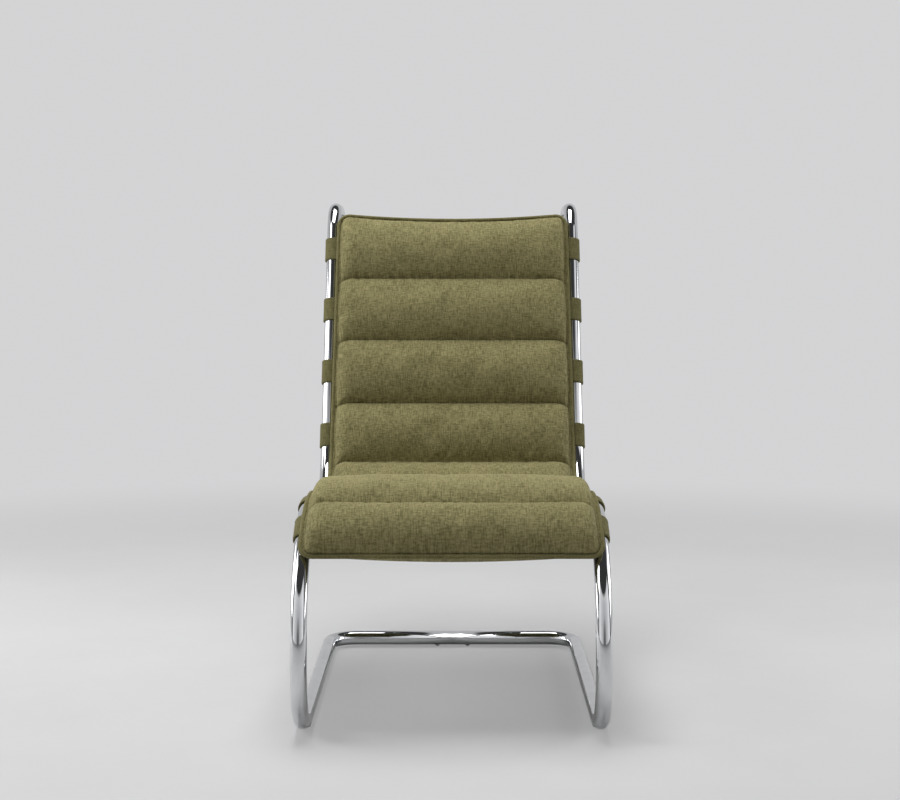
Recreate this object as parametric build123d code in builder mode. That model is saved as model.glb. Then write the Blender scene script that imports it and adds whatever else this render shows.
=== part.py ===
"""Cantilever lounge chair: a bent tube frame, nine belts and a pad of nine stuffed rolls.

The chair faces -Y and +Z is up.  The origin lies on the floor, under the middle of the frame.
In the side view a depth is measured back from the foremost point of the tube's centre line.
"""
import os
from math import cos, degrees, pi, radians, sin, sqrt, tan

from build123d import *

os.makedirs("parts", exist_ok=True)

# Tube frame: centre lines, measured in the side view
tube_diameter = 25.4
tube_wall = 2.0
frame_width = 480.0
frame_height = 834.0
base_depth = 688.0
base_corner_radius = 50.0
front_lower_radius = 100.0
front_upper_radius = 196.0
front_corner_height = 386.0
seat_slope = 14.2
seat_corner_depth = 557.0
seat_bend_radius = 170.0
back_lean = 21.3
hook_width = 175.0
hook_radius = 60.0
hook_return = 150.0
top_corner_radius = 50.0

# Crossbar joints: a solid spigot in both tubes, held by one screw in each
spigot_length = 110.0
spigot_clearance = 0.15
screw_spacing = 56.0
screw_diameter = 4.8
screw_length = 9.0
screw_head_diameter = 8.0
screw_head_height = 1.6
screw_head_taper = 30.0
screw_clearance = 0.1

# Glides under the runners
glide_thickness = 3.0
glide_length = 32.0
glide_width = 17.0
glide_side_height = 5.0
glide_corner_radius = 6.0
glide_peg_diameter = 5.0
glide_peg_length = 7.0
glide_clearance = 0.1
front_glide_from_bend = 9.0
rear_glide_from_bend = 22.0

# Belts: closed loops of cloth-covered strap round both rails
belt_width = 44.0
belt_thickness = 2.4
belt_clearance = 0.35
belt_sag = 18.0
belt_lap = 70.0
belt_lap_clearance = 0.2
belt_lap_gap = 5.0
belt_step = 20.0
front_belt_station = 206.0
belt_from_seam = 67.0

# Press studs that close each belt's lap
stud_spacing = 36.0
stud_cap_diameter = 13.0
stud_cap_height = 1.8
stud_shank_diameter = 4.0
stud_clearance = 0.15

# Pad: stations are measured along the rail from the start of the front bend
pad_side_inset = 13.0
pad_front_station = 141.0
first_seam_station = 236.0
pad_top_setback = 31.4
rear_roll_count = 8
pad_clearance = 0.3
roll_clearance = 0.5
backing_thickness = 1.2
cover_thickness = 1.6
crown_lift = 48.5
channel_depth = 12.5
edge_lift = 24.0
edge_channel_depth = 1.0
crown_squareness = 5.0
pad_corner_radius = 24.0
seam_gap = 0.6
roll_cuts = [0, 0.55, 0.87, 1]
fill_clearance = 0.2

# Welt: the piped edge all round the pad
welt_diameter = 7.0
welt_corner_radius = 20.0
welt_corner_run = 22.0

# Sizes that follow from the ones above
tube_radius = tube_diameter / 2
rail_x = (frame_width - tube_diameter) / 2
base_z = glide_thickness + tube_radius
slope = radians(seat_slope)
lean = radians(back_lean)
seat_corner_z = front_corner_height - seat_corner_depth * tan(slope)
hook_z = frame_height - tube_radius
hook_front_depth = seat_corner_depth + (hook_z - seat_corner_z) * tan(lean)
hook_back_depth = hook_front_depth + hook_width
top_bar_depth = hook_back_depth - hook_return * sin(lean)
top_bar_z = hook_z - hook_return * cos(lean)
hook_rearmost_depth = hook_back_depth - hook_radius * tan((pi / 2 + lean) / 2) + hook_radius
frame_front_y = -hook_rearmost_depth / 2

# The glides sit on the straight runners, clear of the bends at both ends
front_glide_depth = front_lower_radius + front_glide_from_bend + glide_length / 2
rear_glide_depth = base_depth - base_corner_radius - rear_glide_from_bend - glide_length / 2

# Stretches of the rail that carry the pad
front_turn = pi / 2 + slope
seat_turn = pi / 2 - lean + slope
front_bend_end = front_upper_radius * front_turn
front_bend_z = front_corner_height - front_upper_radius * tan(front_turn / 2)
seat_straight = (
    seat_corner_depth / cos(slope)
    - front_upper_radius * tan(front_turn / 2)
    - seat_bend_radius * tan(seat_turn / 2)
)
seat_bend_start = front_bend_end + seat_straight
seat_bend_end = seat_bend_start + seat_bend_radius * seat_turn
hook_corner_station = (
    seat_bend_end
    - seat_bend_radius * tan(seat_turn / 2)
    + (hook_z - seat_corner_z) / cos(lean)
)

# The pad lies inside the frame's width, and its rolls share the rail up to the hooks
pad_width = frame_width - 2 * pad_side_inset
pad_top_station = hook_corner_station - pad_top_setback
roll_pitch = (pad_top_station - first_seam_station) / rear_roll_count
seam_stations = [first_seam_station + roll_pitch * i for i in range(rear_roll_count + 1)]
belt_stations = [front_belt_station] + [s + belt_from_seam for s in seam_stations[:-1]]

# The welt rests on the belts where they pass over the rails, and the rolls end inside it
welt_radius = welt_diameter / 2
welt_x = pad_width / 2 - welt_radius
welt_lift = tube_radius + belt_clearance + belt_thickness + pad_clearance + welt_radius
pad_edge_inset = welt_radius + pad_clearance
pad_half_width = welt_x - pad_edge_inset
pad_start = pad_front_station + pad_edge_inset
pad_end = pad_top_station - pad_edge_inset
roll_starts = [pad_start] + seam_stations[:-1]
roll_ends = seam_stations[:-1] + [pad_end]

# The belt's hanging run is one large arc, tangent to the loops round the two rails
belt_radius = tube_radius + belt_clearance + belt_thickness / 2
hang_low = belt_radius - belt_sag
hang_radius = (hang_low**2 + rail_x**2 - belt_radius**2) / (2 * (belt_radius - hang_low))
hang_centre = hang_radius + hang_low
belt_top_radius = hang_radius - belt_thickness / 2
lap_lift = -belt_radius - belt_thickness - belt_lap_clearance
backing_low_radius = belt_top_radius - pad_clearance
backing_top_radius = backing_low_radius - backing_thickness
roll_under_radius = backing_top_radius - roll_clearance


def on_floor_plan(depth):
    """The Y of a depth behind the foremost point of the tube."""
    return frame_front_y + depth


def heading(station):
    """The rail's direction at a station, as an angle above the horizontal."""
    if station <= front_bend_end:
        return pi / 2 - station / front_upper_radius
    if station <= seat_bend_start:
        return -slope
    if station <= seat_bend_end:
        return (station - seat_bend_start) / seat_bend_radius - slope
    return pi / 2 - lean


def rail_point(station, lift=0.0):
    """Y and Z of a point of the rail's centre line, or lifted off it towards the sitter."""
    if station <= front_bend_end:
        angle = station / front_upper_radius
        depth = front_upper_radius * (1 - cos(angle))
        height = front_bend_z + front_upper_radius * sin(angle)
    elif station <= seat_bend_start:
        run = station - front_bend_end
        depth = front_upper_radius * (1 + sin(slope)) + run * cos(slope)
        height = front_bend_z + front_upper_radius * cos(slope) - run * sin(slope)
    elif station <= seat_bend_end:
        back_off = seat_bend_radius * tan(seat_turn / 2)
        turned = heading(station)
        depth = seat_corner_depth - back_off * cos(slope)
        depth += seat_bend_radius * (sin(turned) + sin(slope))
        height = seat_corner_z + back_off * sin(slope)
        height += seat_bend_radius * (cos(slope) - cos(turned))
    else:
        run = station - seat_bend_end + seat_bend_radius * tan(seat_turn / 2)
        depth = seat_corner_depth + run * sin(lean)
        height = seat_corner_z + run * cos(lean)
    way = heading(station)
    return on_floor_plan(depth) - lift * sin(way), height + lift * cos(way)


def across_rail(station):
    """The plane square to the rail at a station: its x is +X and its y is the lift."""
    way = heading(station)
    y, z = rail_point(station)
    return Plane(origin=(0, y, z), x_dir=(1, 0, 0), z_dir=(0, -cos(way), -sin(way)))


def in_front_bend(station):
    """Whether a station lies in the bend at the front of the seat."""
    return station <= front_bend_end


def in_seat_bend(station):
    """Whether a station lies in the bend between the seat and the back."""
    return seat_bend_start <= station <= seat_bend_end


def rear_plane(station, lift):
    """The plane that faces the sitter at a station: its x is +X and its z is the lift."""
    way = heading(station)
    y, z = rail_point(station, lift)
    return Plane(origin=(0, y, z), x_dir=(1, 0, 0), z_dir=(0, -sin(way), cos(way)))


def extend_along_rail(face, station, width):
    """Give a face that stands across the rail a width along it, half to each side."""
    if in_front_bend(station):
        y, z = rail_point(station, -front_upper_radius)
        turn = width / front_upper_radius
    elif in_seat_bend(station):
        y, z = rail_point(station, seat_bend_radius)
        turn = width / seat_bend_radius
    else:
        extrude(face, amount=width / 2, both=True)
        return
    axis = Axis((0, y, z), (1, 0, 0))
    start = face.rotate(axis, -degrees(turn) / 2)
    revolve(start, axis, revolution_arc=degrees(turn))


def rail_route(start, end, lift=0.0):
    """Draw the rail's centre line between two stations, lifted off it, in the side view."""
    breaks = [s for s in (front_bend_end, seat_bend_start, seat_bend_end) if start < s < end]
    stops = [start] + breaks + [end]
    for first, last in zip(stops[:-1], stops[1:]):
        middle = (first + last) / 2
        ends = [rail_point(first, lift), rail_point(last, lift)]
        if in_front_bend(middle) or in_seat_bend(middle):
            ThreePointArc(ends[0], rail_point(middle, lift), ends[1])
        else:
            Line(*ends)


def arc_lift(radius, x):
    """The lift at x of an arc of the given radius about the hanging run's centre."""
    return hang_centre - sqrt(radius**2 - x**2)


def roll_outline(x, start, end, inset, reach):
    """The foot, shoulder and crown points of one cut through a roll, drawn in by inset."""
    fullness = sqrt(max(0.0, 1 - (reach / pad_half_width) ** crown_squareness))
    crown = edge_lift + (crown_lift - edge_lift) * fullness - inset
    edge_channel = edge_lift - edge_channel_depth - inset
    channel = edge_channel + (crown_lift - channel_depth - edge_lift + edge_channel_depth) * fullness
    corner = max(0.0, reach - (pad_half_width - pad_corner_radius))
    draw_in = pad_corner_radius - sqrt(max(0.0, pad_corner_radius**2 - corner**2))
    front, rear = start + seam_gap / 2 + inset, end - seam_gap / 2 - inset
    front_lift, rear_lift = channel, channel
    if start == pad_start:
        front, front_lift = start + draw_in + inset, edge_channel
    if end == pad_end:
        rear, rear_lift = end - draw_in - inset, edge_channel
    under = arc_lift(roll_under_radius, x)
    return (
        (front, rear, under),
        rail_point(front, under),
        rail_point(front, front_lift),
        rail_point((front + rear) / 2, crown),
        rail_point(rear, rear_lift),
        rail_point(rear, under),
    )


def fill_face(x, start, end):
    """One cut through a roll's stuffing: the backing below, a crown above."""
    inset = cover_thickness + fill_clearance
    route, foot, shoulder, crown, far_shoulder, far_foot = roll_outline(
        x, start, end, inset, abs(x) + inset
    )
    with BuildSketch(Plane.YZ.offset(x)) as cut:
        with BuildLine():
            rail_route(*route)
            Line(foot, shoulder)
            ThreePointArc(shoulder, crown, far_shoulder)
            Line(far_shoulder, far_foot)
        make_face()
    return cut.sketch.face()


def cover_face(x, start, end):
    """One cut through a roll's cover, which is open below where it is sewn to the backing."""
    with BuildSketch(Plane.YZ.offset(x)) as cut:
        with BuildLine():
            outer = roll_outline(x, start, end, 0, abs(x))[1:]
            inner = roll_outline(x, start, end, cover_thickness, abs(x))[1:]
            for foot, shoulder, crown, far_shoulder, far_foot in (outer, inner):
                Line(foot, shoulder)
                ThreePointArc(shoulder, crown, far_shoulder)
                Line(far_shoulder, far_foot)
            Line(outer[0], inner[0])
            Line(outer[4], inner[4])
        make_face()
    return cut.sketch.face()


def cut_stations(half):
    """Places across the pad at which the rolls are cut, from one side to the other."""
    steps = [half * share for share in roll_cuts]
    return [-x for x in reversed(steps[1:])] + steps


def strap_side(inward):
    """Draw one face of a belt's strap, a distance inward of its middle, and give its ends."""
    wrap = belt_radius - inward
    hang = hang_radius + inward
    lean_in = rail_x / (hang_radius + belt_radius)
    touch = (rail_x - wrap * lean_in, hang_centre - hang * sqrt(1 - lean_in**2))
    left_touch = (-touch[0], touch[1])
    lap_start = (belt_lap / 2, inward - belt_radius)
    lap_end = (-belt_lap / 2, inward + lap_lift)
    step_start = (belt_lap / 2 + belt_lap_gap + belt_step, inward - belt_radius)
    step_end = (belt_lap / 2 + belt_lap_gap, inward + lap_lift)
    Line(lap_start, (-rail_x, inward - belt_radius))
    ThreePointArc((-rail_x, inward - belt_radius), (-rail_x - wrap, 0), left_touch)
    ThreePointArc(left_touch, (0, hang_centre - hang), touch)
    ThreePointArc(touch, (rail_x + wrap, 0), (rail_x, inward - belt_radius))
    Polyline((rail_x, inward - belt_radius), step_start, step_end, lap_end)
    return lap_start, lap_end


def backing_face(station):
    """The backing's cut across the rail at a station: a thin band that hangs as the belts do."""
    low_end = (pad_half_width, arc_lift(backing_low_radius, pad_half_width))
    top_end = (pad_half_width, arc_lift(backing_top_radius, pad_half_width))
    low_start = (-low_end[0], low_end[1])
    top_start = (-top_end[0], top_end[1])
    with BuildSketch(across_rail(station)) as band:
        with BuildLine():
            ThreePointArc(low_start, (0, arc_lift(backing_low_radius, 0)), low_end)
            Line(low_end, top_end)
            ThreePointArc(top_end, (0, arc_lift(backing_top_radius, 0)), top_start)
            Line(top_start, low_start)
        make_face()
    return band.sketch.face()


def across_crossbar(joint):
    """The plane that looks down from a crossbar's joint, with its x along the bar."""
    return Plane(origin=joint, x_dir=(1, 0, 0), z_dir=(0, 0, -1))


def crossbar_screws(joint):
    """Two screws that enter a crossbar from below, one each side of its joint."""
    seat = tube_radius + screw_clearance
    with BuildSketch(across_crossbar(joint).offset(seat)) as heads:
        with Locations((-screw_spacing / 2, 0), (screw_spacing / 2, 0)):
            Circle(screw_head_diameter / 2)
    extrude(heads.sketch, amount=screw_head_height, taper=screw_head_taper)
    with BuildSketch(across_crossbar(joint).offset(seat - screw_length)) as shanks:
        with Locations((-screw_spacing / 2, 0), (screw_spacing / 2, 0)):
            Circle(screw_diameter / 2)
    extrude(shanks.sketch, amount=screw_length)


def crossbar_spigot(joint):
    """The solid bar inside a crossbar's joint, with blind holes for its screws."""
    with BuildSketch(Plane(origin=joint, z_dir=(1, 0, 0))) as bar:
        Circle(tube_radius - tube_wall - spigot_clearance)
    extrude(bar.sketch, amount=spigot_length / 2, both=True)
    with BuildSketch(across_crossbar(joint)) as holes:
        with Locations((-screw_spacing / 2, 0), (screw_spacing / 2, 0)):
            Circle(screw_diameter / 2 + screw_clearance)
    extrude(holes.sketch, amount=tube_radius, mode=Mode.SUBTRACT)


def save(piece, name):
    """Label a finished piece and write its file."""
    piece.label = name
    export_step(piece, f"parts/{name}.step")


# Frame: two bent tubes, mirror images, that meet in the middle of both crossbars
frame_corners = [
    (-rail_x, on_floor_plan(base_depth), base_z),
    (-rail_x, on_floor_plan(0), base_z),
    (-rail_x, on_floor_plan(0), front_corner_height),
    (-rail_x, on_floor_plan(seat_corner_depth), seat_corner_z),
    (-rail_x, on_floor_plan(hook_front_depth), hook_z),
    (-rail_x, on_floor_plan(hook_back_depth), hook_z),
    (-rail_x, on_floor_plan(top_bar_depth), top_bar_z),
]
frame_radii = [
    base_corner_radius,
    front_lower_radius,
    front_upper_radius,
    seat_bend_radius,
    hook_radius,
    hook_radius,
    top_corner_radius,
]
base_joint = (0, on_floor_plan(base_depth), base_z)
top_joint = (0, on_floor_plan(top_bar_depth), top_bar_z)
glide_rows = {
    "front": on_floor_plan(front_glide_depth),
    "rear": on_floor_plan(rear_glide_depth),
}

with BuildPart() as left_frame_tube:
    with BuildLine():
        FilletPolyline(base_joint, *frame_corners, top_joint, radius=frame_radii)
    with BuildSketch(Plane(origin=base_joint, z_dir=(-1, 0, 0))):
        Circle(tube_radius)
        Circle(tube_radius - tube_wall, mode=Mode.SUBTRACT)
    sweep()
    for joint in (base_joint, top_joint):
        with BuildSketch(across_crossbar(joint)):
            with Locations((-screw_spacing / 2, 0)):
                Circle(screw_diameter / 2 + screw_clearance)
        extrude(amount=tube_diameter, mode=Mode.SUBTRACT)
    for row in glide_rows.values():
        with BuildSketch(across_crossbar((-rail_x, row, base_z))):
            Circle(glide_peg_diameter / 2 + glide_clearance)
        extrude(amount=tube_diameter, mode=Mode.SUBTRACT)
save(left_frame_tube.part, "left_frame_tube")

with BuildPart() as right_frame_tube:
    mirror(left_frame_tube.part, about=Plane.YZ)
save(right_frame_tube.part, "right_frame_tube")

# Crossbar joints: a spigot and two screws at the bottom, and the same at the top
with BuildPart() as base_spigot:
    crossbar_spigot(base_joint)
save(base_spigot.part, "base_spigot")

with BuildPart() as top_spigot:
    crossbar_spigot(top_joint)
save(top_spigot.part, "top_spigot")

with BuildPart() as base_screws:
    crossbar_screws(base_joint)
save(base_screws.part, "base_screws")

with BuildPart() as top_screws:
    crossbar_screws(top_joint)
save(top_screws.part, "top_screws")

# Glides: saddles under the runners, each held by a peg through the tube's wall
for row_name, row in glide_rows.items():
    for side_name, x in (("left", -rail_x), ("right", rail_x)):
        with BuildPart() as glide:
            with BuildSketch(Plane(origin=(x, row, 0))):
                RectangleRounded(glide_width, glide_length, glide_corner_radius)
            extrude(amount=glide_thickness + glide_side_height)
            with BuildSketch(Plane(origin=(x, row, base_z), z_dir=(0, 1, 0))):
                Circle(tube_radius + glide_clearance)
            extrude(amount=glide_length, both=True, mode=Mode.SUBTRACT)
            with BuildSketch(Plane(origin=(x, row, glide_thickness / 2))):
                Circle(glide_peg_diameter / 2)
            extrude(amount=glide_thickness / 2 + glide_peg_length)
        save(glide.part, f"{row_name}_{side_name}_glide")

# Belts: a strap round both rails, lapped behind, with holes for its two studs
for number, station in enumerate(belt_stations, start=1):
    with BuildPart() as belt:
        with BuildSketch(across_rail(station), mode=Mode.PRIVATE) as strap:
            with BuildLine():
                inner = strap_side(belt_thickness / 2)
                outer = strap_side(-belt_thickness / 2)
                Line(inner[0], outer[0])
                Line(inner[1], outer[1])
            make_face()
        extend_along_rail(strap.sketch, station, belt_width)
        with BuildSketch(rear_plane(station, lap_lift - belt_thickness)):
            with Locations((-stud_spacing / 2, 0), (stud_spacing / 2, 0)):
                Circle(stud_shank_diameter / 2 + stud_clearance)
        extrude(amount=3 * belt_thickness + belt_lap_clearance, mode=Mode.SUBTRACT)
    save(belt.part, f"belt_{number}")

# Press studs: two close each lap, with a cap behind and a socket inside the loop
stud_back = lap_lift - belt_thickness / 2 - stud_clearance
stud_front = belt_thickness / 2 - belt_radius + stud_clearance
with BuildPart() as belt_studs:
    for station in belt_stations:
        with Locations(rear_plane(station, stud_back - stud_cap_height)):
            with Locations((-stud_spacing / 2, 0), (stud_spacing / 2, 0)):
                Cone(
                    stud_cap_diameter / 2 - stud_cap_height,
                    stud_cap_diameter / 2,
                    stud_cap_height,
                    align=(Align.CENTER, Align.CENTER, Align.MIN),
                )
        with Locations(rear_plane(station, stud_back)):
            with Locations((-stud_spacing / 2, 0), (stud_spacing / 2, 0)):
                Cylinder(
                    stud_shank_diameter / 2,
                    stud_front - stud_back,
                    align=(Align.CENTER, Align.CENTER, Align.MIN),
                )
        with Locations(rear_plane(station, stud_front)):
            with Locations((-stud_spacing / 2, 0), (stud_spacing / 2, 0)):
                Cylinder(
                    stud_cap_diameter / 2,
                    stud_cap_height,
                    align=(Align.CENTER, Align.CENTER, Align.MIN),
                )
save(belt_studs.part, "belt_studs")

# Backing: the cloth under all the rolls, which hangs across the pad as the belts do
backing_stops = [pad_start, front_bend_end, seat_bend_start, seat_bend_end, pad_end]
with BuildPart() as pad_backing:
    for first, last in zip(backing_stops[:-1], backing_stops[1:]):
        middle = (first + last) / 2
        extend_along_rail(backing_face(middle), middle, last - first)
save(pad_backing.part, "pad_backing")

# Rolls: each is a sewn cover with its stuffing inside
for number, (start, end) in enumerate(zip(roll_starts, roll_ends), start=1):
    with BuildPart() as roll_fill:
        fill_half = pad_half_width - cover_thickness - fill_clearance
        loft([fill_face(x, start, end) for x in cut_stations(fill_half)], ruled=True)
    save(roll_fill.part, f"roll_fill_{number}")

    with BuildPart() as roll_cover:
        loft([cover_face(x, start, end) for x in cut_stations(pad_half_width)], ruled=True)
    save(roll_cover.part, f"roll_cover_{number}")

# Welt: one ring, half of it drawn and mirrored
front_y, front_z = rail_point(pad_front_station + welt_corner_run, welt_lift)
front_way = heading(pad_front_station + welt_corner_run)
welt_run = welt_corner_run * (1 + welt_lift / front_upper_radius)
front_y -= welt_run * cos(front_way)
front_z -= welt_run * sin(front_way)
top_y, top_z = rail_point(pad_top_station, welt_lift)
front_knee = rail_point(front_bend_end, welt_lift)
knee_back_off = (front_upper_radius + welt_lift) * tan((front_way + slope) / 2)
seat_knee = rail_point(seat_bend_start, welt_lift)
seat_back_off = (seat_bend_radius - welt_lift) * tan(seat_turn / 2)
with BuildPart() as pad_welt:
    with BuildLine():
        FilletPolyline(
            (0, front_y, front_z),
            (-welt_x, front_y, front_z),
            (
                -welt_x,
                front_knee[0] - knee_back_off * cos(slope),
                front_knee[1] + knee_back_off * sin(slope),
            ),
            (
                -welt_x,
                seat_knee[0] + seat_back_off * cos(slope),
                seat_knee[1] - seat_back_off * sin(slope),
            ),
            (-welt_x, top_y, top_z),
            (0, top_y, top_z),
            radius=[
                welt_corner_radius,
                front_upper_radius + welt_lift,
                seat_bend_radius - welt_lift,
                welt_corner_radius,
            ],
        )
    with BuildSketch(Plane(origin=(0, front_y, front_z), z_dir=(-1, 0, 0))):
        Circle(welt_radius)
    sweep()
    mirror(about=Plane.YZ)
save(pad_welt.part, "pad_welt")
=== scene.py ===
import math

import bpy
import numpy as np
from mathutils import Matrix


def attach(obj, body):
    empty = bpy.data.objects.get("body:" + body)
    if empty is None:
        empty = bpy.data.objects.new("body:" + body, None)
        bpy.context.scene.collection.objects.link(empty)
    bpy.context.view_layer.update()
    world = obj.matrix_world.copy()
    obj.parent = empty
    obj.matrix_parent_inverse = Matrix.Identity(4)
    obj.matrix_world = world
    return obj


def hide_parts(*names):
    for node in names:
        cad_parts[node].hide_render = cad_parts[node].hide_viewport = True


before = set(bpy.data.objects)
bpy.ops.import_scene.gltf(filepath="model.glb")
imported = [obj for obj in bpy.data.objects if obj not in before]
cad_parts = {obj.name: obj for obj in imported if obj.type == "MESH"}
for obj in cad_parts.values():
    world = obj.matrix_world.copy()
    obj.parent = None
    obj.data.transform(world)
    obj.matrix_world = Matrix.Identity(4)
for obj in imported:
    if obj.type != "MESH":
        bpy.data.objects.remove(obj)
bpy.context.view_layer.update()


# The frame is two mirror-image lengths of 25.4 mm steel tube, bent cold and chrome plated.
# They meet end to end in the middle of both crossbars, on a spigot held by two screws.
TUBE_RADIUS = 0.0127
FRONT_Y = -0.46445
RAIL_X = 0.2273
TUBE_CORNERS = [
    (0.0, 0.688, 0.0157),
    (RAIL_X, 0.688, 0.0157),
    (RAIL_X, 0.0, 0.0157),
    (RAIL_X, 0.0, 0.386),
    (RAIL_X, 0.557, 0.24506),
    (RAIL_X, 0.78167, 0.8213),
    (RAIL_X, 0.95667, 0.8213),
    (RAIL_X, 0.90218, 0.68155),
    (0.0, 0.90218, 0.68155),
]
TUBE_BENDS = [0.05, 0.1, 0.196, 0.17, 0.06, 0.06, 0.05]
TUBE_SIDES = 48
JOINT_HAIRLINE = 0.00005
NO_ROUTE_STARTS_ALONG = (0.31, 0.22, 0.93)


def unit(vector):
    return vector / np.linalg.norm(vector)


def bent_route(corners, bends, arc_step=math.radians(3)):
    """Points along straight runs joined by arcs, one arc for each inner corner."""
    corners = [np.array(corner, dtype=float) for corner in corners]
    route = [corners[0]]
    for before, corner, after, bend in zip(corners, corners[1:], corners[2:], bends):
        back, ahead = unit(before - corner), unit(after - corner)
        half = math.acos(float(np.clip(np.dot(back, ahead), -1, 1))) / 2
        centre = corner + unit(back + ahead) * bend / math.sin(half)
        start = corner + back * bend / math.tan(half) - centre
        turn = math.pi - 2 * half
        for step in np.linspace(0, turn, max(3, int(turn / arc_step) + 1)):
            route.append(centre + start * math.cos(step) - back * bend * math.sin(step))
    route.append(corners[-1])
    return np.array(route)


def mesh_piece(name, points, faces):
    """A new object with a smooth-shaded mesh, its place held in its points."""
    mesh = bpy.data.meshes.new(name)
    mesh.from_pydata([tuple(map(float, point)) for point in points], [], faces)
    mesh.validate()
    mesh.shade_smooth()
    piece = bpy.data.objects.new(name, mesh)
    bpy.context.scene.collection.objects.link(piece)
    return piece


def round_bar(name, route, radius, sides, closed=False):
    """A bar of round section that follows a route without twisting."""
    count = len(route)
    if closed:
        ways = [unit(route[(i + 1) % count] - route[i - 1]) for i in range(count)]
    else:
        ways = [unit(route[min(i + 1, count - 1)] - route[max(i - 1, 0)]) for i in range(count)]
    side = unit(np.cross(ways[0], NO_ROUTE_STARTS_ALONG))
    points = []
    for place, way in zip(route, ways):
        side = unit(side - way * np.dot(side, way))
        other = np.cross(way, side)
        for step in range(sides):
            angle = math.tau * step / sides
            points.append(place + radius * (side * math.cos(angle) + other * math.sin(angle)))
    faces = []
    for i in range(count if closed else count - 1):
        here, there = i * sides, (i + 1) % count * sides
        for step in range(sides):
            nxt = (step + 1) % sides
            faces.append((here + step, here + nxt, there + nxt, there + step))
    if not closed:
        faces.append(tuple(range(sides))[::-1])
        faces.append(tuple(range((count - 1) * sides, count * sides)))
    return mesh_piece(name, points, faces)


class Signal:
    """A shader value: arithmetic on it adds Math nodes to its finish."""

    def __init__(self, tree, socket):
        self.tree = tree
        self.socket = socket

    def math(self, operation, *terms):
        node = self.tree.nodes.new("ShaderNodeMath")
        node.operation = operation
        for slot, term in zip(node.inputs, terms):
            if isinstance(term, Signal):
                self.tree.links.new(term.socket, slot)
            else:
                slot.default_value = term
        return Signal(self.tree, node.outputs[0])

    def __add__(self, other):
        return self.math("ADD", self, other)

    def __sub__(self, other):
        return self.math("SUBTRACT", self, other)

    def __mul__(self, other):
        return self.math("MULTIPLY", self, other)


class Finish:
    """A node material for one finish; node() adds to it and feed() fills its surface."""

    def __init__(self, name):
        self.material = bpy.data.materials.new(name)
        self.material.use_nodes = True
        self.tree = self.material.node_tree
        self.surface = self.tree.nodes["Principled BSDF"]

    def join(self, socket, value):
        if isinstance(value, Signal):
            self.tree.links.new(value.socket, socket)
        else:
            socket.default_value = value

    def node(self, kind, settings=None, sockets=None, output=0):
        made = self.tree.nodes.new("ShaderNode" + kind)
        for key, value in (settings or {}).items():
            setattr(made, key, value)
        for key, value in (sockets or {}).items():
            self.join(made.inputs[key], value)
        return Signal(self.tree, made.outputs[output])

    def feed(self, **surface):
        for key, value in surface.items():
            self.join(self.surface.inputs[key.replace("_", " ")], value)

    def place(self):
        return self.node("TexCoord", output=3)

    def stretched(self, vector, scale):
        return self.node("Mapping", sockets={"Vector": vector, "Scale": scale})

    def ramp(self, value, *stops):
        """A colour that follows a value between two stops, each a place and a colour."""
        made = self.tree.nodes.new("ShaderNodeValToRGB")
        self.join(made.inputs["Fac"], value)
        for stop, (place, colour) in zip(made.color_ramp.elements, stops):
            stop.position = place
            stop.color = colour
        return Signal(self.tree, made.outputs[0])

    def cloud(self, size, detail, roughness, vector=None):
        """Soft noise whose patches are about the given size, in metres."""
        return self.node(
            "TexNoise",
            sockets={
                "Vector": vector or self.place(),
                "Scale": 1 / size,
                "Detail": detail,
                "Roughness": roughness,
            },
        )

    def relief(self, height, depth, strength):
        """A bump of a real depth, in metres, fed to the surface's normal."""
        self.feed(
            Normal=self.node(
                "Bump", sockets={"Height": height, "Distance": depth, "Strength": strength}
            )
        )


chrome = Finish("polished chrome plate")
smears = chrome.cloud(0.035, 4, 0.6)
hairlines = chrome.node(
    "TexNoise",
    sockets={"Vector": chrome.stretched(chrome.place(), (900.0, 60.0, 60.0)), "Scale": 1.0},
)
chrome.feed(
    Base_Color=chrome.ramp(smears, (0.3, (0.6, 0.61, 0.625, 1)), (0.7, (0.69, 0.7, 0.71, 1))),
    Metallic=1.0,
    Roughness=smears * 0.04 + hairlines * 0.02 + 0.02,
)
chrome.relief(hairlines, 0.00001, 0.1)

for side, sign in (("left", -1), ("right", 1)):
    corners = [
        (sign * max(x, JOINT_HAIRLINE), FRONT_Y + depth, z) for x, depth, z in TUBE_CORNERS
    ]
    route = bent_route(corners, TUBE_BENDS)
    tube = round_bar(side + "_bent_tube", route, TUBE_RADIUS, TUBE_SIDES)
    tube.data.materials.append(chrome.material)
    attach(tube, "root")
    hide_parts(side + "_frame_tube")


# The spigots are turned steel bars inside the joints. The zinc-plated screws enter them
# from below, where they don't show from above.
steel = Finish("bright zinc plate")
grain = steel.cloud(0.0015, 6, 0.7)
steel.feed(
    Base_Color=steel.ramp(grain, (0.35, (0.42, 0.42, 0.43, 1)), (0.65, (0.56, 0.56, 0.55, 1))),
    Metallic=1.0,
    Roughness=grain * 0.25 + 0.18,
)
steel.relief(grain, 0.00005, 0.4)


def repaint(finish, *nodes):
    """Gives a finish to CAD solids that are shown as they are."""
    for name in nodes:
        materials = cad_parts[name].data.materials
        materials.clear()
        materials.append(finish.material)


repaint(steel, "base_spigot", "top_spigot", "base_screws", "top_screws")


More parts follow.
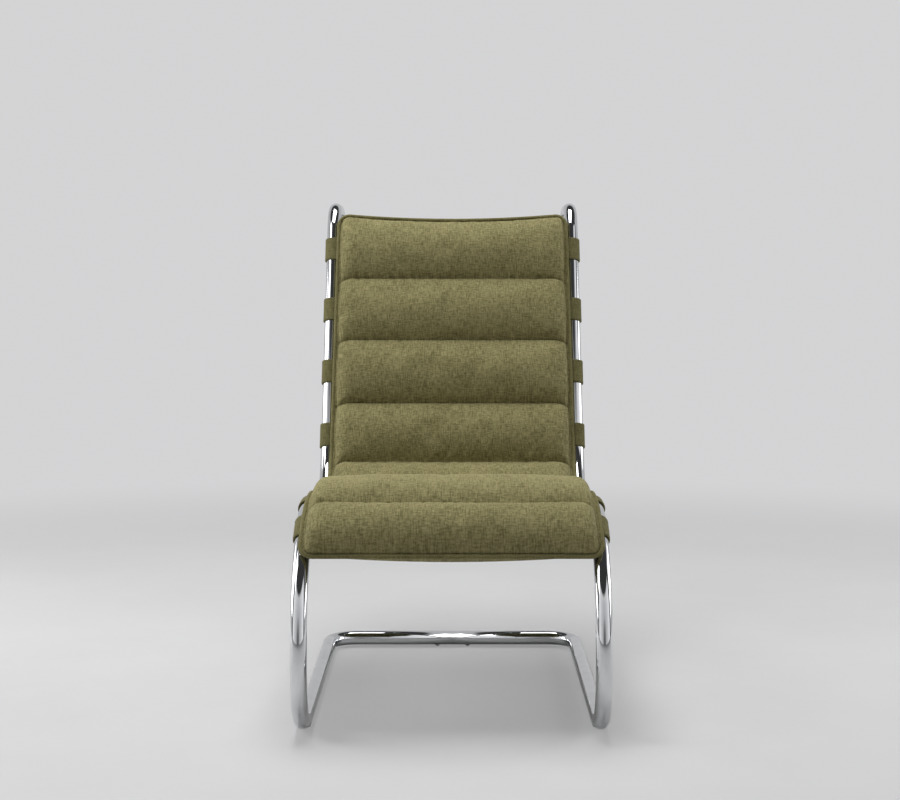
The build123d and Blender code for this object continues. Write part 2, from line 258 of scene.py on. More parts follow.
# Four clear plastic glides sit under the runners. Each is a moulded saddle whose peg snaps
# into a hole in the tube's underside.
clear_plastic = Finish("clear moulded plastic")
scuffs = clear_plastic.cloud(0.004, 5, 0.7)
clear_plastic.feed(
    Base_Color=clear_plastic.ramp(scuffs, (0.3, (0.78, 0.79, 0.77, 1)), (0.7, (0.9, 0.9, 0.88, 1))),
    Roughness=scuffs * 0.3 + 0.12,
    Transmission_Weight=0.6,
    IOR=1.46,
)
clear_plastic.relief(scuffs, 0.0001, 0.3)
glides = ("front_left_glide", "front_right_glide", "rear_left_glide", "rear_right_glide")
repaint(clear_plastic, *glides)


# Nine belts pass round both rails under the pad: webbing in a sleeve of the pad's cloth,
# 44 mm wide. The ends lap behind the seat and close with two press studs.
SLOPE = math.radians(14.2)
LEAN = math.radians(21.3)
FRONT_BEND, SEAT_BEND = 0.196, 0.17
FRONT_BEND_Z = 0.13423
FRONT_BEND_END = FRONT_BEND * (math.pi / 2 + SLOPE)
SEAT_CORNER = np.array((0.557, 0.24506))
SEAT_TURN = math.pi / 2 - LEAN + SLOPE
SEAT_BACK_OFF = SEAT_BEND * math.tan(SEAT_TURN / 2)
SEAT_BEND_START = (
    FRONT_BEND_END
    + SEAT_CORNER[0] / math.cos(SLOPE)
    - FRONT_BEND * math.tan((math.pi / 2 + SLOPE) / 2)
    - SEAT_BACK_OFF
)
SEAT_BEND_END = SEAT_BEND_START + SEAT_BEND * SEAT_TURN
BELT_WIDTH, BELT_THICKNESS, BELT_CORNER = 0.044, 0.0024, 0.0011
BELT_LOOP = 0.01425
ROLLS, ROLL_PITCH = 9, 0.122
BELT_STATIONS = [0.206] + [0.303 + ROLL_PITCH * i for i in range(ROLLS - 1)]
BELT_SAG = 0.018
LAP_HALF, LAP_GAP, LAP_STEP, LAP_DROP = 0.035, 0.005, 0.02, 0.0026
HANG_LOW = BELT_LOOP - BELT_SAG
HANG_RADIUS = (HANG_LOW**2 + RAIL_X**2 - BELT_LOOP**2) / (2 * (BELT_LOOP - HANG_LOW))
HANG_CENTRE = HANG_RADIUS + HANG_LOW
# A painted highlight: the pad's nap is made paler in a band over the crest at the front of the
# seat, where the light falls strongest.
CREST_HIGHLIGHT_PALER = 0.04
CREST_HIGHLIGHT_FROM, CREST_HIGHLIGHT_TO = (0.21, 0.29), (0.33, 0.5)
WEAVE_SCALE = 260.0


def on_rail(x, station, lift):
    """A point over the rails: x across, a station along them and a lift towards the sitter."""
    if station <= FRONT_BEND_END:
        angle = station / FRONT_BEND
        way = math.pi / 2 - angle
        depth = FRONT_BEND * (1 - math.cos(angle))
        height = FRONT_BEND_Z + FRONT_BEND * math.sin(angle)
    elif station <= SEAT_BEND_START:
        way = -SLOPE
        run = station - FRONT_BEND_END
        depth = FRONT_BEND * (1 + math.sin(SLOPE)) + run * math.cos(SLOPE)
        height = FRONT_BEND_Z + FRONT_BEND * math.cos(SLOPE) - run * math.sin(SLOPE)
    elif station <= SEAT_BEND_END:
        way = (station - SEAT_BEND_START) / SEAT_BEND - SLOPE
        depth = SEAT_CORNER[0] - SEAT_BACK_OFF * math.cos(SLOPE)
        depth += SEAT_BEND * (math.sin(way) + math.sin(SLOPE))
        height = SEAT_CORNER[1] + SEAT_BACK_OFF * math.sin(SLOPE)
        height += SEAT_BEND * (math.cos(SLOPE) - math.cos(way))
    else:
        way = math.pi / 2 - LEAN
        run = station - SEAT_BEND_END + SEAT_BACK_OFF
        depth = SEAT_CORNER[0] + run * math.sin(LEAN)
        height = SEAT_CORNER[1] + run * math.cos(LEAN)
    return (x, FRONT_Y + depth - lift * math.sin(way), height + lift * math.cos(way))


def hang_lift(x, above=0.0):
    """The lift at x of the belts' hanging run, or of what lies a distance above it."""
    return HANG_CENTRE - math.sqrt((HANG_RADIUS - above) ** 2 - x**2)


def belt_path():
    """The middle of the strap, as x and lift, from its inner end round to its outer end."""
    path = [(LAP_HALF, -BELT_LOOP)]
    path += [(x, -BELT_LOOP) for x in np.linspace(0, -RAIL_X, 12)]
    touch = math.asin(RAIL_X / (HANG_RADIUS + BELT_LOOP))
    wrap = np.linspace(1.5 * math.pi, math.pi / 2 - touch, 26)[1:]
    path += [(-RAIL_X + BELT_LOOP * math.cos(a), BELT_LOOP * math.sin(a)) for a in wrap]
    edge = RAIL_X - BELT_LOOP * math.sin(touch)
    path += [(x, hang_lift(x)) for x in np.linspace(-edge, edge, 42)[1:-1]]
    path += [(RAIL_X - BELT_LOOP * math.cos(a), BELT_LOOP * math.sin(a)) for a in wrap[::-1]]
    path += [(x, -BELT_LOOP) for x in np.linspace(RAIL_X, LAP_HALF + LAP_GAP + LAP_STEP, 8)]
    path += [(x, -BELT_LOOP - LAP_DROP) for x in np.linspace(LAP_HALF + LAP_GAP, -LAP_HALF, 4)]
    return np.array(path)


def strap_section():
    """A strap's rounded section: offsets along the rail and off the strap's middle."""
    half, thick, corner = BELT_WIDTH / 2, BELT_THICKNESS / 2, BELT_CORNER
    ring = []
    for start, sign_s, sign_h in ((0, 1, 1), (1, -1, 1), (2, -1, -1), (3, 1, -1)):
        for turn in np.linspace(start, start + 1, 4) * math.pi / 2:
            along = sign_s * (half - corner) + corner * math.cos(turn)
            ring.append((along, sign_h * (thick - corner) + corner * math.sin(turn)))
        if start in (0, 2):
            ring += [(s * sign_s, sign_h * thick) for s in np.linspace(half, -half, 11)[1:-1]]
    return ring


def padded_cloth(name, shade, light, painted_crest_highlight=False):
    """Brushed cloth between two shades: a mottled nap over a weave that follows its map.

    When asked, a painted highlight makes the nap paler over the crest at the front of the seat.
    """
    finish = Finish(name)
    place = finish.node("UVMap", {"uv_map": "cloth"})
    nap = finish.cloud(0.045, 5, 0.6)
    fibres = finish.cloud(0.0024, 5, 0.75)
    streaks = finish.cloud(1.0, 3, 0.6, finish.stretched(place, (95.0, 400.0, 1.0)))
    slubs = finish.cloud(1.0, 2, 0.6, finish.stretched(place, (480.0, 70.0, 1.0)))
    tone = nap * 0.12 + fibres * 0.26 + streaks * 0.31 + slubs * 0.31
    if painted_crest_highlight:
        along = finish.node("SeparateXYZ", sockets={"Vector": place}, output=1)
        blend = {"interpolation_type": "SMOOTHSTEP"}
        starts, ends = (
            finish.node("MapRange", blend, {"Value": along, "From Min": low, "From Max": high})
            for low, high in (CREST_HIGHLIGHT_FROM, CREST_HIGHLIGHT_TO)
        )
        # painted highlight: the nap is made paler over the seat's front crest
        tone = tone + (starts - ends) * CREST_HIGHLIGHT_PALER
    finish.feed(
        Base_Color=finish.ramp(tone, (0.42, shade), (0.58, light)),
        Roughness=fibres * 0.2 + 0.72,
        Sheen_Weight=0.16,
        Sheen_Roughness=0.45,
        Sheen_Tint=(0.75, 0.72, 0.5, 1),
        Specular_IOR_Level=0.12,
    )
    warp, weft = (
        finish.node(
            "TexWave",
            {"wave_type": "BANDS", "bands_direction": direction},
            {"Vector": place, "Scale": WEAVE_SCALE, "Distortion": 1.5},
        )
        for direction in "XY"
    )
    weave = warp * 0.2 + weft * 0.2 + fibres * 0.5 + streaks * 0.4 + slubs * 0.4
    finish.relief(weave, 0.0007, 0.6)
    return finish.material


def map_cloth(piece, places):
    """Gives each point of a piece its place on the cloth, in metres."""
    cloth_map = piece.data.uv_layers.new(name="cloth")
    for loop in piece.data.loops:
        cloth_map.data[loop.index].uv = places[loop.vertex_index]


belt_cloth = padded_cloth("belt cloth", (0.115, 0.105, 0.042, 1), (0.205, 0.19, 0.085, 1))
path = belt_path()
steps = np.diff(path, axis=0, prepend=path[:1])
run = np.cumsum(np.hypot(*steps.T))
ways = np.gradient(path, axis=0)
ways /= np.hypot(*ways.T)[:, None]
section = strap_section()
for number, station in enumerate(BELT_STATIONS, start=1):
    points, faces, mapped = [], [], []
    for (x, lift), (way_x, way_lift), along in zip(path, ways, run):
        for offset, off in section:
            points.append(on_rail(x + way_lift * off, station + offset, lift - way_x * off))
            mapped.append((along, offset + off))
    ring = len(section)
    for i in range(len(path) - 1):
        for step in range(ring):
            here, nxt = i * ring + step, i * ring + (step + 1) % ring
            faces.append((here, nxt, nxt + ring, here + ring))
    faces.append(tuple(range(ring))[::-1])
    faces.append(tuple(range((len(path) - 1) * ring, len(path) * ring)))
    belt = mesh_piece(f"cloth_belt_{number}", points, faces)
    map_cloth(belt, mapped)
    belt.data.materials.append(belt_cloth)
    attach(belt, "root")
    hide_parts(f"belt_{number}")


# Each belt's sleeve is topstitched along both edges of its outer face, 3.5 mm in, with a
# matching thread. Geometry Nodes set the stitches along the lines that they are given.
STITCH_INSET, BELT_STITCH_PITCH, PAD_STITCH_PITCH = 0.0035, 0.0045, 0.004
STITCH_SHARE, THREAD_DIAMETER = 0.8, 0.0007
thread = Finish("olive sewing thread")
twist = thread.node("TexWave", {"bands_direction": "DIAGONAL"}, {"Scale": 900.0})
thread.feed(
    Base_Color=thread.ramp(twist, (0.2, (0.085, 0.078, 0.032, 1)), (0.8, (0.19, 0.175, 0.085, 1))),
    Roughness=twist * 0.15 + 0.5,
)
thread.relief(twist, 0.0001, 0.4)


def stitching_tree():
    """The node tree that turns lines into rows of separate stitches, each lying along its line."""
    tree = bpy.data.node_groups.new("rows of stitches", "GeometryNodeTree")
    sockets = tree.interface
    sockets.new_socket("Lines", in_out="INPUT", socket_type="NodeSocketGeometry")
    for name in ("Pitch", "Stitch Length", "Thread Diameter"):
        sockets.new_socket(name, in_out="INPUT", socket_type="NodeSocketFloat")
    sockets.new_socket("Thread", in_out="INPUT", socket_type="NodeSocketMaterial")
    sockets.new_socket("Stitches", in_out="OUTPUT", socket_type="NodeSocketGeometry")

    def node(kind, settings=None, **feeds):
        made = tree.nodes.new(kind)
        for key, value in (settings or {}).items():
            setattr(made, key, value)
        for key, value in feeds.items():
            socket = made.inputs[key.replace("_", " ")]
            if isinstance(value, bpy.types.NodeSocket):
                tree.links.new(value, socket)
            else:
                socket.default_value = value
        return made.outputs[0]

    given = tree.nodes.new("NodeGroupInput").outputs
    line = node("GeometryNodeMeshToCurve", Mesh=given["Lines"])
    spots = node(
        "GeometryNodeResampleCurve", {"mode": "LENGTH"}, Curve=line, Length=given["Pitch"]
    )
    turn = node(
        "FunctionNodeAlignRotationToVector",
        {"axis": "X"},
        Vector=node("GeometryNodeInputTangent"),
    )
    bead = node("GeometryNodeMeshUVSphere", Segments=6, Rings=5, Radius=0.5)
    size = node(
        "ShaderNodeCombineXYZ",
        X=given["Stitch Length"],
        Y=given["Thread Diameter"],
        Z=given["Thread Diameter"],
    )
    stitch = node("GeometryNodeTransform", Geometry=bead, Scale=size)
    row = node("GeometryNodeInstanceOnPoints", Points=spots, Instance=stitch, Rotation=turn)
    solid = node("GeometryNodeRealizeInstances", Geometry=row)
    smooth = node("GeometryNodeSetShadeSmooth", Geometry=solid)
    finished = node("GeometryNodeSetMaterial", Geometry=smooth, Material=given["Thread"])
    tree.links.new(finished, tree.nodes.new("NodeGroupOutput").inputs["Stitches"])
    return tree


stitches = stitching_tree()


def sew(name, lines, pitch):
    """Stitches along lines of points, made a plain mesh that rides with the chair."""
    points = [point for line in lines for point in line]
    edges, first = [], 0
    for line in lines:
        edges += [(first + i, first + i + 1) for i in range(len(line) - 1)]
        first += len(line)
    mesh = bpy.data.meshes.new(name)
    mesh.from_pydata([tuple(map(float, point)) for point in points], edges, [])
    piece = bpy.data.objects.new(name, mesh)
    bpy.context.scene.collection.objects.link(piece)
    sewing = piece.modifiers.new("sewing", "NODES")
    sewing.node_group = stitches
    values = {
        "Pitch": pitch,
        "Stitch Length": pitch * STITCH_SHARE,
        "Thread Diameter": THREAD_DIAMETER,
        "Thread": thread.material,
    }
    for socket in stitches.interface.items_tree:
        if socket.name in values:
            sewing[socket.identifier] = values[socket.name]
    ready = bpy.context.evaluated_depsgraph_get()
    piece.data = bpy.data.meshes.new_from_object(piece.evaluated_get(ready))
    piece.modifiers.clear()
    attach(piece, "root")


edge_lines = []
for station in BELT_STATIONS:
    for offset in (STITCH_INSET - BELT_WIDTH / 2, BELT_WIDTH / 2 - STITCH_INSET):
        line = []
        for (x, lift), (way_x, way_lift) in zip(path[2:-5], ways[2:-5]):
            off = -BELT_THICKNESS / 2
            line.append(on_rail(x + way_lift * off, station + offset, lift - way_x * off))
        edge_lines.append(line)
sew("belt_topstitching", edge_lines, BELT_STITCH_PITCH)


# Two nickel-plated press studs close each belt's lap: a domed cap behind, a socket inside.
# They are shown as the CAD has them, with a finish of their own.
nickel = Finish("satin nickel plate")
brushing = nickel.cloud(0.0008, 4, 0.6)
nickel.feed(
    Base_Color=nickel.ramp(brushing, (0.3, (0.5, 0.49, 0.46, 1)), (0.7, (0.62, 0.61, 0.57, 1))),
    Metallic=1.0,
    Roughness=brushing * 0.2 + 0.22,
)
nickel.relief(brushing, 0.00004, 0.4)
repaint(nickel, "belt_studs")


# The pad's backing is one dark lining cloth that hangs between the rails as the belts do.
# The channels are sewn down to it, and its edge is caught in the welt.
WELT_RADIUS = 0.0035
WELT_LIFT = 0.01925
PAD_HALF = 0.2197
PAD_FRONT, PAD_TOP = 0.141, 1.212
SEAMS = [0.236 + ROLL_PITCH * i for i in range(ROLLS - 1)]
EDGE_INSET = 0.0038
WELT_CORNER = 0.02
TOP_DIP = 0.009
WIDTH_AT = ([0.141, 0.25, 0.42, 0.7, 1.212], [0.2292, 0.2268, 0.222, 0.2195, 0.2165])
BACKING_ABOVE, BACKING_THICKNESS, BACKING_GAP = 0.0015, 0.0012, 0.0003
BACKING_COLUMNS, BACKING_ROWS = 61, 181


def welt_half(station):
    """Half the pad's width, to the middle of its welt: the pad narrows towards its top."""
    return float(np.interp(station, *WIDTH_AT))


def pad_half(station):
    return welt_half(station) - EDGE_INSET


def edge_pull(share, corner):
    """How far a rounded corner draws the pad's end in, at a share of its half width."""
    past = max(0.0, abs(share) * PAD_HALF - (PAD_HALF - corner))
    return corner - math.sqrt(max(0.0, corner**2 - past**2))


def pad_front(share):
    return PAD_FRONT + EDGE_INSET + edge_pull(share, WELT_CORNER - EDGE_INSET)


def top_dip(x):
    """How far the pad's top edge rises from its middle to a place across it."""
    return TOP_DIP * min(1.0, abs(x) / (welt_half(PAD_TOP) - WELT_CORNER)) ** 2


def pad_top(share):
    pull = edge_pull(share, WELT_CORNER - EDGE_INSET)
    return PAD_TOP - EDGE_INSET + top_dip(share * pad_half(PAD_TOP)) - pull


def closed_sheet(name, columns, rows, top, under):
    """A closed form between two lifted surfaces that share their stations, with a cloth map."""
    points, mapped = [], []
    for surface in (top, under):
        for i, share in enumerate(rows):
            for across in columns:
                x, station, lift = surface(across, share)
                points.append(on_rail(x, station, lift))
                mapped.append((x, station))
    wide, tall = len(columns), len(rows)
    low = wide * tall
    faces = []
    for i in range(tall - 1):
        for j in range(wide - 1):
            here = i * wide + j
            faces.append((here, here + 1, here + wide + 1, here + wide))
            faces.append((low + here, low + here + wide, low + here + wide + 1, low + here + 1))
    rim = list(range(wide))
    rim += [i * wide + wide - 1 for i in range(1, tall)]
    rim += [(tall - 1) * wide + j for j in range(wide - 2, -1, -1)]
    rim += [i * wide for i in range(tall - 2, 0, -1)]
    for here, nxt in zip(rim, rim[1:] + rim[:1]):
        faces.append((here, low + here, low + nxt, nxt))
    piece = mesh_piece(name, points, faces)
    map_cloth(piece, mapped)
    return piece


def backing_surface(above):
    def surface(across, share):
        station = pad_front(across) + share * (pad_top(across) - pad_front(across))
        x = across * pad_half(station)
        return x, station, hang_lift(x, BELT_THICKNESS / 2 + above)

    return surface


backing = closed_sheet(
    "lining_sheet",
    np.linspace(-1, 1, BACKING_COLUMNS),
    np.linspace(0, 1, BACKING_ROWS),
    backing_surface(BACKING_GAP + BACKING_THICKNESS),
    backing_surface(BACKING_GAP),
)
lining = padded_cloth("dark lining cloth", (0.02, 0.018, 0.012, 1), (0.04, 0.036, 0.024, 1))
backing.data.materials.append(lining)
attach(backing, "root")
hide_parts("pad_backing")


# The pad is one sewn cover of brushed olive cloth over nine stuffed rolls. Eight channel
# seams pull it down to the backing, and the end rolls fall away to the welt.
CROWN, CHANNEL, EDGE, EDGE_CHANNEL = 0.0465, 0.028, 0.0215, 0.0185
FLANGE, SIDE_FALL, SIDE_SHAPE, TUCK = 0.004, 0.026, 2.4, 0.0009
END_DROOP, DROOP_REACH = 0.006, 0.014
SLUMP, SLUMP_LENGTHS = 0.0007, (0.13, 0.19, 0.31, 0.09)
PUCKER, PUCKER_FROM_SEAM, PUCKER_REACH = 0.0006, 0.007, 0.013
SIDE_GATHER, SIDE_GATHER_REACH = 0.0008, 0.014
COVER_GAP = 0.0005
ROWS_IN_ROLL, COLUMNS = 40, 131
ROW_EVEN, ROW_BUNCHED = 0.45, 0.55
COLUMN_BUNCHED, COLUMN_EVEN = 0.45, 0.55
TRIAL_ROWS, TRIAL_COLUMNS, TRIAL_FRAMES = 20, 91, 20
PUCKER_TRAVEL = 0.006
rng = np.random.default_rng(7)
pucker_waves = rng.uniform(0, math.tau, (ROLLS + 1, 7))
pucker_lengths = rng.uniform(0.011, 0.045, (ROLLS + 1, 7))
side_waves = rng.uniform(0, math.tau, (2, 6))
side_lengths = rng.uniform(0.012, 0.05, (2, 6))
slump_waves = rng.uniform(0, math.tau, (ROLLS, 4))


def fullness(inside):
    """How full a roll is at a distance inside the pad's side edge: 1 away from the edge."""
    reach = min(1.0, max(0.0, (inside - FLANGE) / SIDE_FALL))
    return math.sqrt(max(0.0, 1 - (1 - reach) ** SIDE_SHAPE))


def gathers(place, waves, lengths):
    """A sum of waves of unlike lengths, which reads as uneven gathering."""
    return sum(math.sin(math.tau * place / l + w) for w, l in zip(waves, lengths)) / 3


def pad_surface(across, row):
    """The place and lift of the pad's face; row counts rolls and parts of a roll."""
    roll = min(int(row), ROLLS - 1)
    share = row - roll
    start = pad_front(across) - TUCK if roll == 0 else SEAMS[roll - 1]
    end = pad_top(across) + TUCK if roll == ROLLS - 1 else SEAMS[roll]
    share = ROW_EVEN * share + ROW_BUNCHED * (1 - math.cos(math.pi * share)) / 2
    station = start + (end - start) * share
    half = pad_half(station) + TUCK
    x = across * half
    inside = half - abs(x)
    droop = END_DROOP * math.exp(-((inside / DROOP_REACH) ** 2))
    if roll > 0:
        station -= droop * (1 - share)
    if roll < ROLLS - 1:
        station -= droop * share
    full = fullness(inside)
    low = EDGE_CHANNEL + (CHANNEL - EDGE_CHANNEL) * full
    low_start = EDGE_CHANNEL if roll == 0 else low
    low_end = EDGE_CHANNEL if roll == ROLLS - 1 else low
    slump = SLUMP * gathers(x, slump_waves[roll], SLUMP_LENGTHS)
    crown = EDGE + (CROWN - EDGE + slump) * full
    swell = math.sqrt(max(0.0, 1 - (2 * share - 1) ** 2))
    lift = low_start + (low_end - low_start) * share
    lift += (crown - lift) * swell
    from_start, from_end = share * (end - start), (1 - share) * (end - start)
    for near, seam in ((from_start, roll), (from_end, roll + 1)):
        fade = math.exp(-(((near - PUCKER_FROM_SEAM) / PUCKER_REACH) ** 2)) * full
        lift += PUCKER * fade * gathers(x, pucker_waves[seam], pucker_lengths[seam])
    beside = math.exp(-(((inside - SIDE_GATHER_REACH) / SIDE_GATHER_REACH) ** 2)) * swell
    side = int(x > 0)
    gather = gathers(start + from_start, side_waves[side], side_lengths[side])
    lift += SIDE_GATHER * beside * gather
    return x, station, lift


def pad_under(across, row):
    x, station, _ = pad_surface(across, row)
    return x, station, hang_lift(x, BELT_THICKNESS / 2 + BACKING_ABOVE + COVER_GAP)


def pad_columns(count):
    """Places across the pad, closer together towards its sides."""
    even = np.linspace(-1, 1, count)
    return COLUMN_BUNCHED * np.sin(even * math.pi / 2) + COLUMN_EVEN * even


def stuffed(rows_in_roll, count):
    """How the stuffing pushes and puckers the cover, simulated on a coarser copy of it.

    The seams, the edge and the underside are held, and the cloth is a little too long
    between them, so that the pressure inside throws it into small gathers.
    """
    rows = np.linspace(0, ROLLS, ROLLS * rows_in_roll + 1)
    cover = closed_sheet("cover_trial", pad_columns(count), rows, pad_surface, pad_under)
    top = len(rows) * count
    held = cover.vertex_groups.new(name="sewn down")
    for index in range(len(cover.data.vertices)):
        row, column = divmod(index, count)
        edge = min(column, count - 1 - column)
        if index >= top or row % rows_in_roll == 0 or edge == 0:
            held.add([index], 1.0, "REPLACE")
    cloth = cover.modifiers.new("stuffing", "CLOTH")
    cloth.settings.quality = 6
    cloth.settings.mass = 0.35
    cloth.settings.tension_stiffness = 20
    cloth.settings.compression_stiffness = 20
    cloth.settings.bending_stiffness = 0.6
    cloth.settings.air_damping = 4
    cloth.settings.use_pressure = True
    cloth.settings.uniform_pressure_force = 4
    cloth.settings.shrink_min = -0.006
    cloth.settings.vertex_group_mass = "sewn down"
    cloth.settings.effector_weights.gravity = 0
    cloth.point_cache.frame_start = 1
    cloth.point_cache.frame_end = TRIAL_FRAMES
    before = np.array([vertex.co[:] for vertex in cover.data.vertices])[:top]
    for moment in range(1, TRIAL_FRAMES + 1):
        bpy.context.scene.frame_set(moment)
    ready = cover.evaluated_get(bpy.context.evaluated_depsgraph_get())
    after = np.array([vertex.co[:] for vertex in ready.data.vertices])[:top]
    bpy.context.scene.frame_set(1)
    bpy.data.objects.remove(cover)
    moved = after - before
    far = np.linalg.norm(moved, axis=1, keepdims=True)
    moved *= np.minimum(1.0, PUCKER_TRAVEL / np.maximum(far, 1e-9))
    return moved.reshape(len(rows), count, 3)


columns = pad_columns(COLUMNS)
rows = np.linspace(0, ROLLS, ROLLS * ROWS_IN_ROLL + 1)
pad = closed_sheet("channelled_pad", columns, rows, pad_surface, pad_under)
moved = stuffed(TRIAL_ROWS, TRIAL_COLUMNS)
moved = np.array(
    [
        [np.interp(columns, pad_columns(TRIAL_COLUMNS), line) for line in moved[:, :, axis]]
        for axis in range(3)
    ]
)
trial_rows = np.linspace(0, ROLLS, ROLLS * TRIAL_ROWS + 1)
for j in range(len(columns)):
    for axis in range(3):
        share = np.interp(rows, trial_rows, moved[axis, :, j])
        for i in range(len(rows)):
            pad.data.vertices[i * len(columns) + j].co[axis] += share[i]
pad.data.update()
# The pad's cloth carries a painted highlight over the seat's front crest.
pad_cloth = padded_cloth(
    "brushed olive cloth", (0.142, 0.126, 0.05, 1), (0.35, 0.316, 0.15, 1), painted_crest_highlight=True
)
pad.data.materials.append(pad_cloth)
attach(pad, "root")
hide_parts(*[f"roll_{part}_{n}" for n in range(1, ROLLS + 1) for part in ("cover", "fill")])


# A row of stitches lies in the bottom of each channel, and one more runs round the flange
# beside the welt, through the cover and the lining.
CHANNEL_STITCH_LIFT, FLANGE_STITCH_LIFT = 0.0003, 0.0002
channel_lines = []
for seam in range(1, ROLLS):
    line = []
    for across in np.linspace(-0.985, 0.985, 90):
        x, station, lift = pad_surface(across, seam)
        line.append(on_rail(x, station, lift + CHANNEL_STITCH_LIFT))
    channel_lines.append(line)
sew("channel_stitching", channel_lines, PAD_STITCH_PITCH)

flange_lines = []
for side in (-1, 1):
    line = []
    for row in np.linspace(0.05, ROLLS - 0.05, 700):
        station = pad_surface(side, row)[1]
        across = side * (1 - FLANGE / 2 / pad_half(station))
        x, station, lift = pad_surface(across, row)
        line.append(on_rail(x, station, lift + FLANGE_STITCH_LIFT))
    flange_lines.append(line)
sew("flange_stitching", flange_lines, PAD_STITCH_PITCH)


# The welt is a cord in a bias strip of the pad's cloth, sewn all round the pad's edge.
# Its line dips in the middle of the top, as the pad's own top edge does.
WELT_SIDES = 14
WELT_MAP_ROUND, WELT_MAP_ALONG = 0.0016, 0.005
front_corner = welt_half(PAD_FRONT) - WELT_CORNER
top_corner = welt_half(PAD_TOP) - WELT_CORNER
top_side = PAD_TOP + TOP_DIP - WELT_CORNER
outline = [(x, PAD_FRONT) for x in np.linspace(0, front_corner, 60)]
for turn in np.linspace(-math.pi / 2, 0, 12)[1:-1]:
    x = front_corner + WELT_CORNER * math.cos(turn)
    outline.append((x, PAD_FRONT + WELT_CORNER * (1 + math.sin(turn))))
for station in np.linspace(PAD_FRONT + WELT_CORNER, top_side, 260):
    outline.append((welt_half(station), station))
for turn in np.linspace(0, math.pi / 2, 12)[1:-1]:
    x = top_corner + WELT_CORNER * math.cos(turn)
    outline.append((x, top_side + WELT_CORNER * math.sin(turn)))
for x in np.linspace(top_corner, 0, 40):
    outline.append((x, PAD_TOP + top_dip(x)))
outline += [(-x, station) for x, station in outline[-2:0:-1]]
ring = np.array([on_rail(x, station, WELT_LIFT) for x, station in outline])
welt = round_bar("piped_welt", ring, WELT_RADIUS, WELT_SIDES, closed=True)
map_cloth(
    welt,
    [
        (index % WELT_SIDES * WELT_MAP_ROUND, index // WELT_SIDES * WELT_MAP_ALONG)
        for index in range(len(ring) * WELT_SIDES)
    ],
)
welt_cloth = padded_cloth("welt cloth", (0.125, 0.112, 0.045, 1), (0.25, 0.228, 0.105, 1))
welt.data.materials.append(welt_cloth)
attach(welt, "root")
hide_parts("pad_welt")


# The floor is a pale disc, and a pale wall curves up from its edge all round, further out
# than any view of the chair. Both show a plain pale tone to the camera, and the floor keeps
# the chair's shadow, softened by that tone.
FLOOR_RADIUS, SWEEP_BEND, WALL_HEIGHT = 5.0, 1.0, 2.8
PALE = (0.655, 0.655, 0.665, 1)
SHADOW_LIFT = 0.36
PALER_FROM, PALE_FROM = 1.1, 2.9


def turned_sheet(name, profile, sides=96):
    """A sheet turned about the Z axis from radii and heights, facing inwards and up."""
    points = []
    for radius, height in profile:
        for step in range(sides):
            turn = math.tau * step / sides
            points.append((radius * math.cos(turn), radius * math.sin(turn), height))
    faces = []
    for i in range(len(profile) - 1):
        for step in range(sides):
            here, nxt = i * sides + step, i * sides + (step + 1) % sides
            faces.append((here, here + sides, nxt + sides, nxt))
    return mesh_piece(name, points, [face[::-1] for face in faces])


def pale_studio(name, lift, lift_far):
    """A studio surface: lit plaster, with a pale tone mixed in for the camera's rays alone."""
    finish = Finish(name)
    mottle = finish.cloud(0.5, 6, 0.6)
    finish.feed(
        Base_Color=finish.ramp(
            mottle, (0.3, (0.68, 0.68, 0.685, 1)), (0.7, (0.74, 0.74, 0.74, 1))
        ),
        Roughness=0.8,
    )
    away = finish.node(
        "VectorMath", {"operation": "LENGTH"}, {"Vector": finish.place()}, output=1
    )
    share = finish.node(
        "MapRange",
        {"interpolation_type": "SMOOTHSTEP"},
        {
            "Value": away,
            "From Min": PALER_FROM,
            "From Max": PALE_FROM,
            "To Min": lift,
            "To Max": lift_far,
        },
    )
    tone = finish.tree.nodes.new("ShaderNodeEmission")
    tone.inputs["Color"].default_value = PALE
    mixed = finish.tree.nodes.new("ShaderNodeMixShader")
    finish.join(mixed.inputs[0], share * finish.node("LightPath"))
    finish.tree.links.new(finish.surface.outputs[0], mixed.inputs[1])
    finish.tree.links.new(tone.outputs[0], mixed.inputs[2])
    finish.tree.links.new(mixed.outputs[0], finish.tree.nodes["Material Output"].inputs[0])
    return finish.material


floor_radii = (0.001, 1.5, 3.0, FLOOR_RADIUS)
floor = turned_sheet("studio_floor", [(radius, 0.0) for radius in floor_radii])
floor.data.materials.append(pale_studio("pale studio floor", SHADOW_LIFT, 1.0))
bend = [
    (FLOOR_RADIUS + SWEEP_BEND * math.sin(turn), SWEEP_BEND * (1 - math.cos(turn)))
    for turn in np.linspace(0, math.pi / 2, 20)
]
wall = turned_sheet("studio_sweep", bend + [(FLOOR_RADIUS + SWEEP_BEND, WALL_HEIGHT)])
wall.data.materials.append(pale_studio("pale studio wall", 1.0, 1.0))
wall.visible_glossy = False


# One large softbox hangs over the chair and a window stands to its front left. Two low
# panels brighten the runners from the sides.
def soft_light(name, place, aim, size, power):
    """A square-cornered lamp that faces a point and that the camera doesn't see."""
    lamp = bpy.data.lights.new(name, "AREA")
    lamp.shape = "RECTANGLE"
    lamp.size, lamp.size_y = size
    lamp.energy = power
    light = bpy.data.objects.new(name, lamp)
    bpy.context.scene.collection.objects.link(light)
    light.location = place
    light.visible_camera = False
    way = np.array(aim, dtype=float) - np.array(place, dtype=float)
    pitch = math.atan2(math.hypot(way[0], way[1]), -way[2])
    light.rotation_euler = (pitch, 0, math.atan2(-way[0], way[1]))


soft_light("overhead softbox", (-0.2, 0.05, 3.1), (0, 0, 0.3), (2.4, 1.4), 70)
soft_light("left window", (-2.4, -0.9, 2.3), (0, 0, 0.3), (1.2, 1.4), 16)
soft_light("left low panel", (-2.3, 0.35, 0.8), (0, 0.1, 0.1), (1.2, 1.0), 17)
soft_light("right low panel", (2.3, 0.35, 0.8), (0, 0.1, 0.1), (1.2, 1.0), 14)


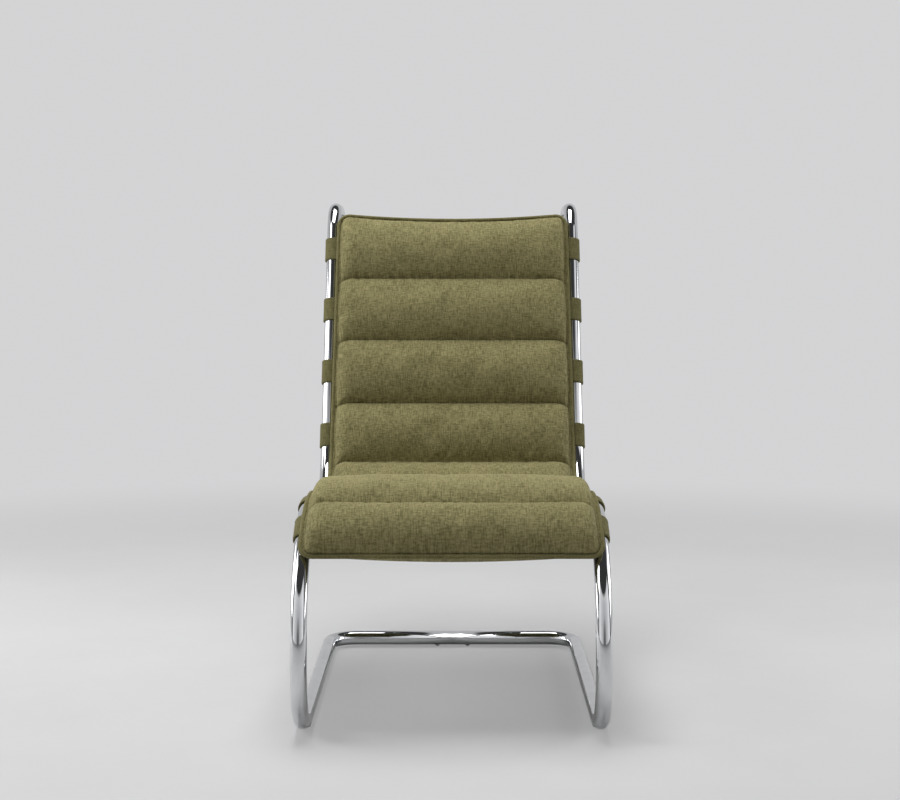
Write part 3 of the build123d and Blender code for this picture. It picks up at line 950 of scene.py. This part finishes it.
# What the room sends in: an even pale air, and for the plating a ring of bright panels
# with dark gaps between them at both sides, under a dark ceiling.
PANEL_STOPS = [(0.0, 0.12), (0.04, 0.5), (0.36, 1.0), (0.4, 0.02), (0.47, 0.02), (0.5, 0.5)]
PANEL_STRENGTH = 1.45
CEILING_FROM, CEILING_FULLY, CEILING_STRENGTH = 0.6, 0.66, 0.06
MATT_STRENGTH, OPEN_STRENGTH = 0.13, 0.95
world = bpy.data.worlds.new("studio air")
world.use_nodes = True
air = world.node_tree


def air_node(kind, settings=None, feeds=None):
    made = air.nodes.new("ShaderNode" + kind)
    for key, value in (settings or {}).items():
        setattr(made, key, value)
    for key, value in (feeds or {}).items():
        if isinstance(value, bpy.types.NodeSocket):
            air.links.new(value, made.inputs[key])
        else:
            made.inputs[key].default_value = value
    return made


seen = air_node("LightPath").outputs
outward = air_node("TexCoord").outputs["Generated"]
way = air_node("SeparateXYZ", feeds={"Vector": outward}).outputs
depth = air_node("MapRange", feeds={"Value": way["Y"], "From Min": -1.0}).outputs[0]
panels = air_node("ValToRGB", feeds={"Fac": depth})
for index, (place, shade) in enumerate(PANEL_STOPS):
    stops = panels.color_ramp.elements
    stop = stops[index] if index < 2 else stops.new(place)
    stop.position = place
    stop.color = (shade, shade, shade, 1)
bright = air_node(
    "Math", {"operation": "MULTIPLY"}, {0: panels.outputs[0], 1: PANEL_STRENGTH}
).outputs[0]
ceiling = air_node(
    "MapRange",
    feeds={"Value": way["Z"], "From Min": CEILING_FROM, "From Max": CEILING_FULLY},
).outputs[0]
around = air_node(
    "Mix", {"data_type": "FLOAT"}, {"Factor": ceiling, "A": bright, "B": CEILING_STRENGTH}
).outputs[0]
plated = air_node(
    "Mix",
    {"data_type": "FLOAT"},
    {"Factor": seen["Is Glossy Ray"], "A": MATT_STRENGTH, "B": around},
).outputs[0]
open_air = air_node(
    "Math",
    {"operation": "MAXIMUM"},
    {0: seen["Is Camera Ray"], 1: seen["Is Transmission Ray"]},
).outputs[0]
strength = air_node(
    "Mix", {"data_type": "FLOAT"}, {"Factor": open_air, "A": plated, "B": OPEN_STRENGTH}
).outputs[0]
background = air.nodes["Background"].inputs
air.links.new(strength, background["Strength"])
background["Color"].default_value = (0.8, 0.8, 0.81, 1)
bpy.context.scene.world = world
bpy.context.scene.view_settings.view_transform = "Standard"


# The camera is level, and its place and lens are those of the fit that the frame's profile
# follows. That fit barely prefers this lens: longer and shorter ones fit about as well.
eye = bpy.data.cameras.new("eye")
eye.sensor_width = 36.0
eye.lens = 70.48
eye.shift_x = -0.0076
eye.shift_y = -0.1512
camera = bpy.data.objects.new("eye", eye)
camera.location = (0.0082, FRONT_Y - 2.6142, 0.716)
camera.rotation_euler = (math.pi / 2, 0, 0)
bpy.context.scene.collection.objects.link(camera)
bpy.context.scene.camera = camera
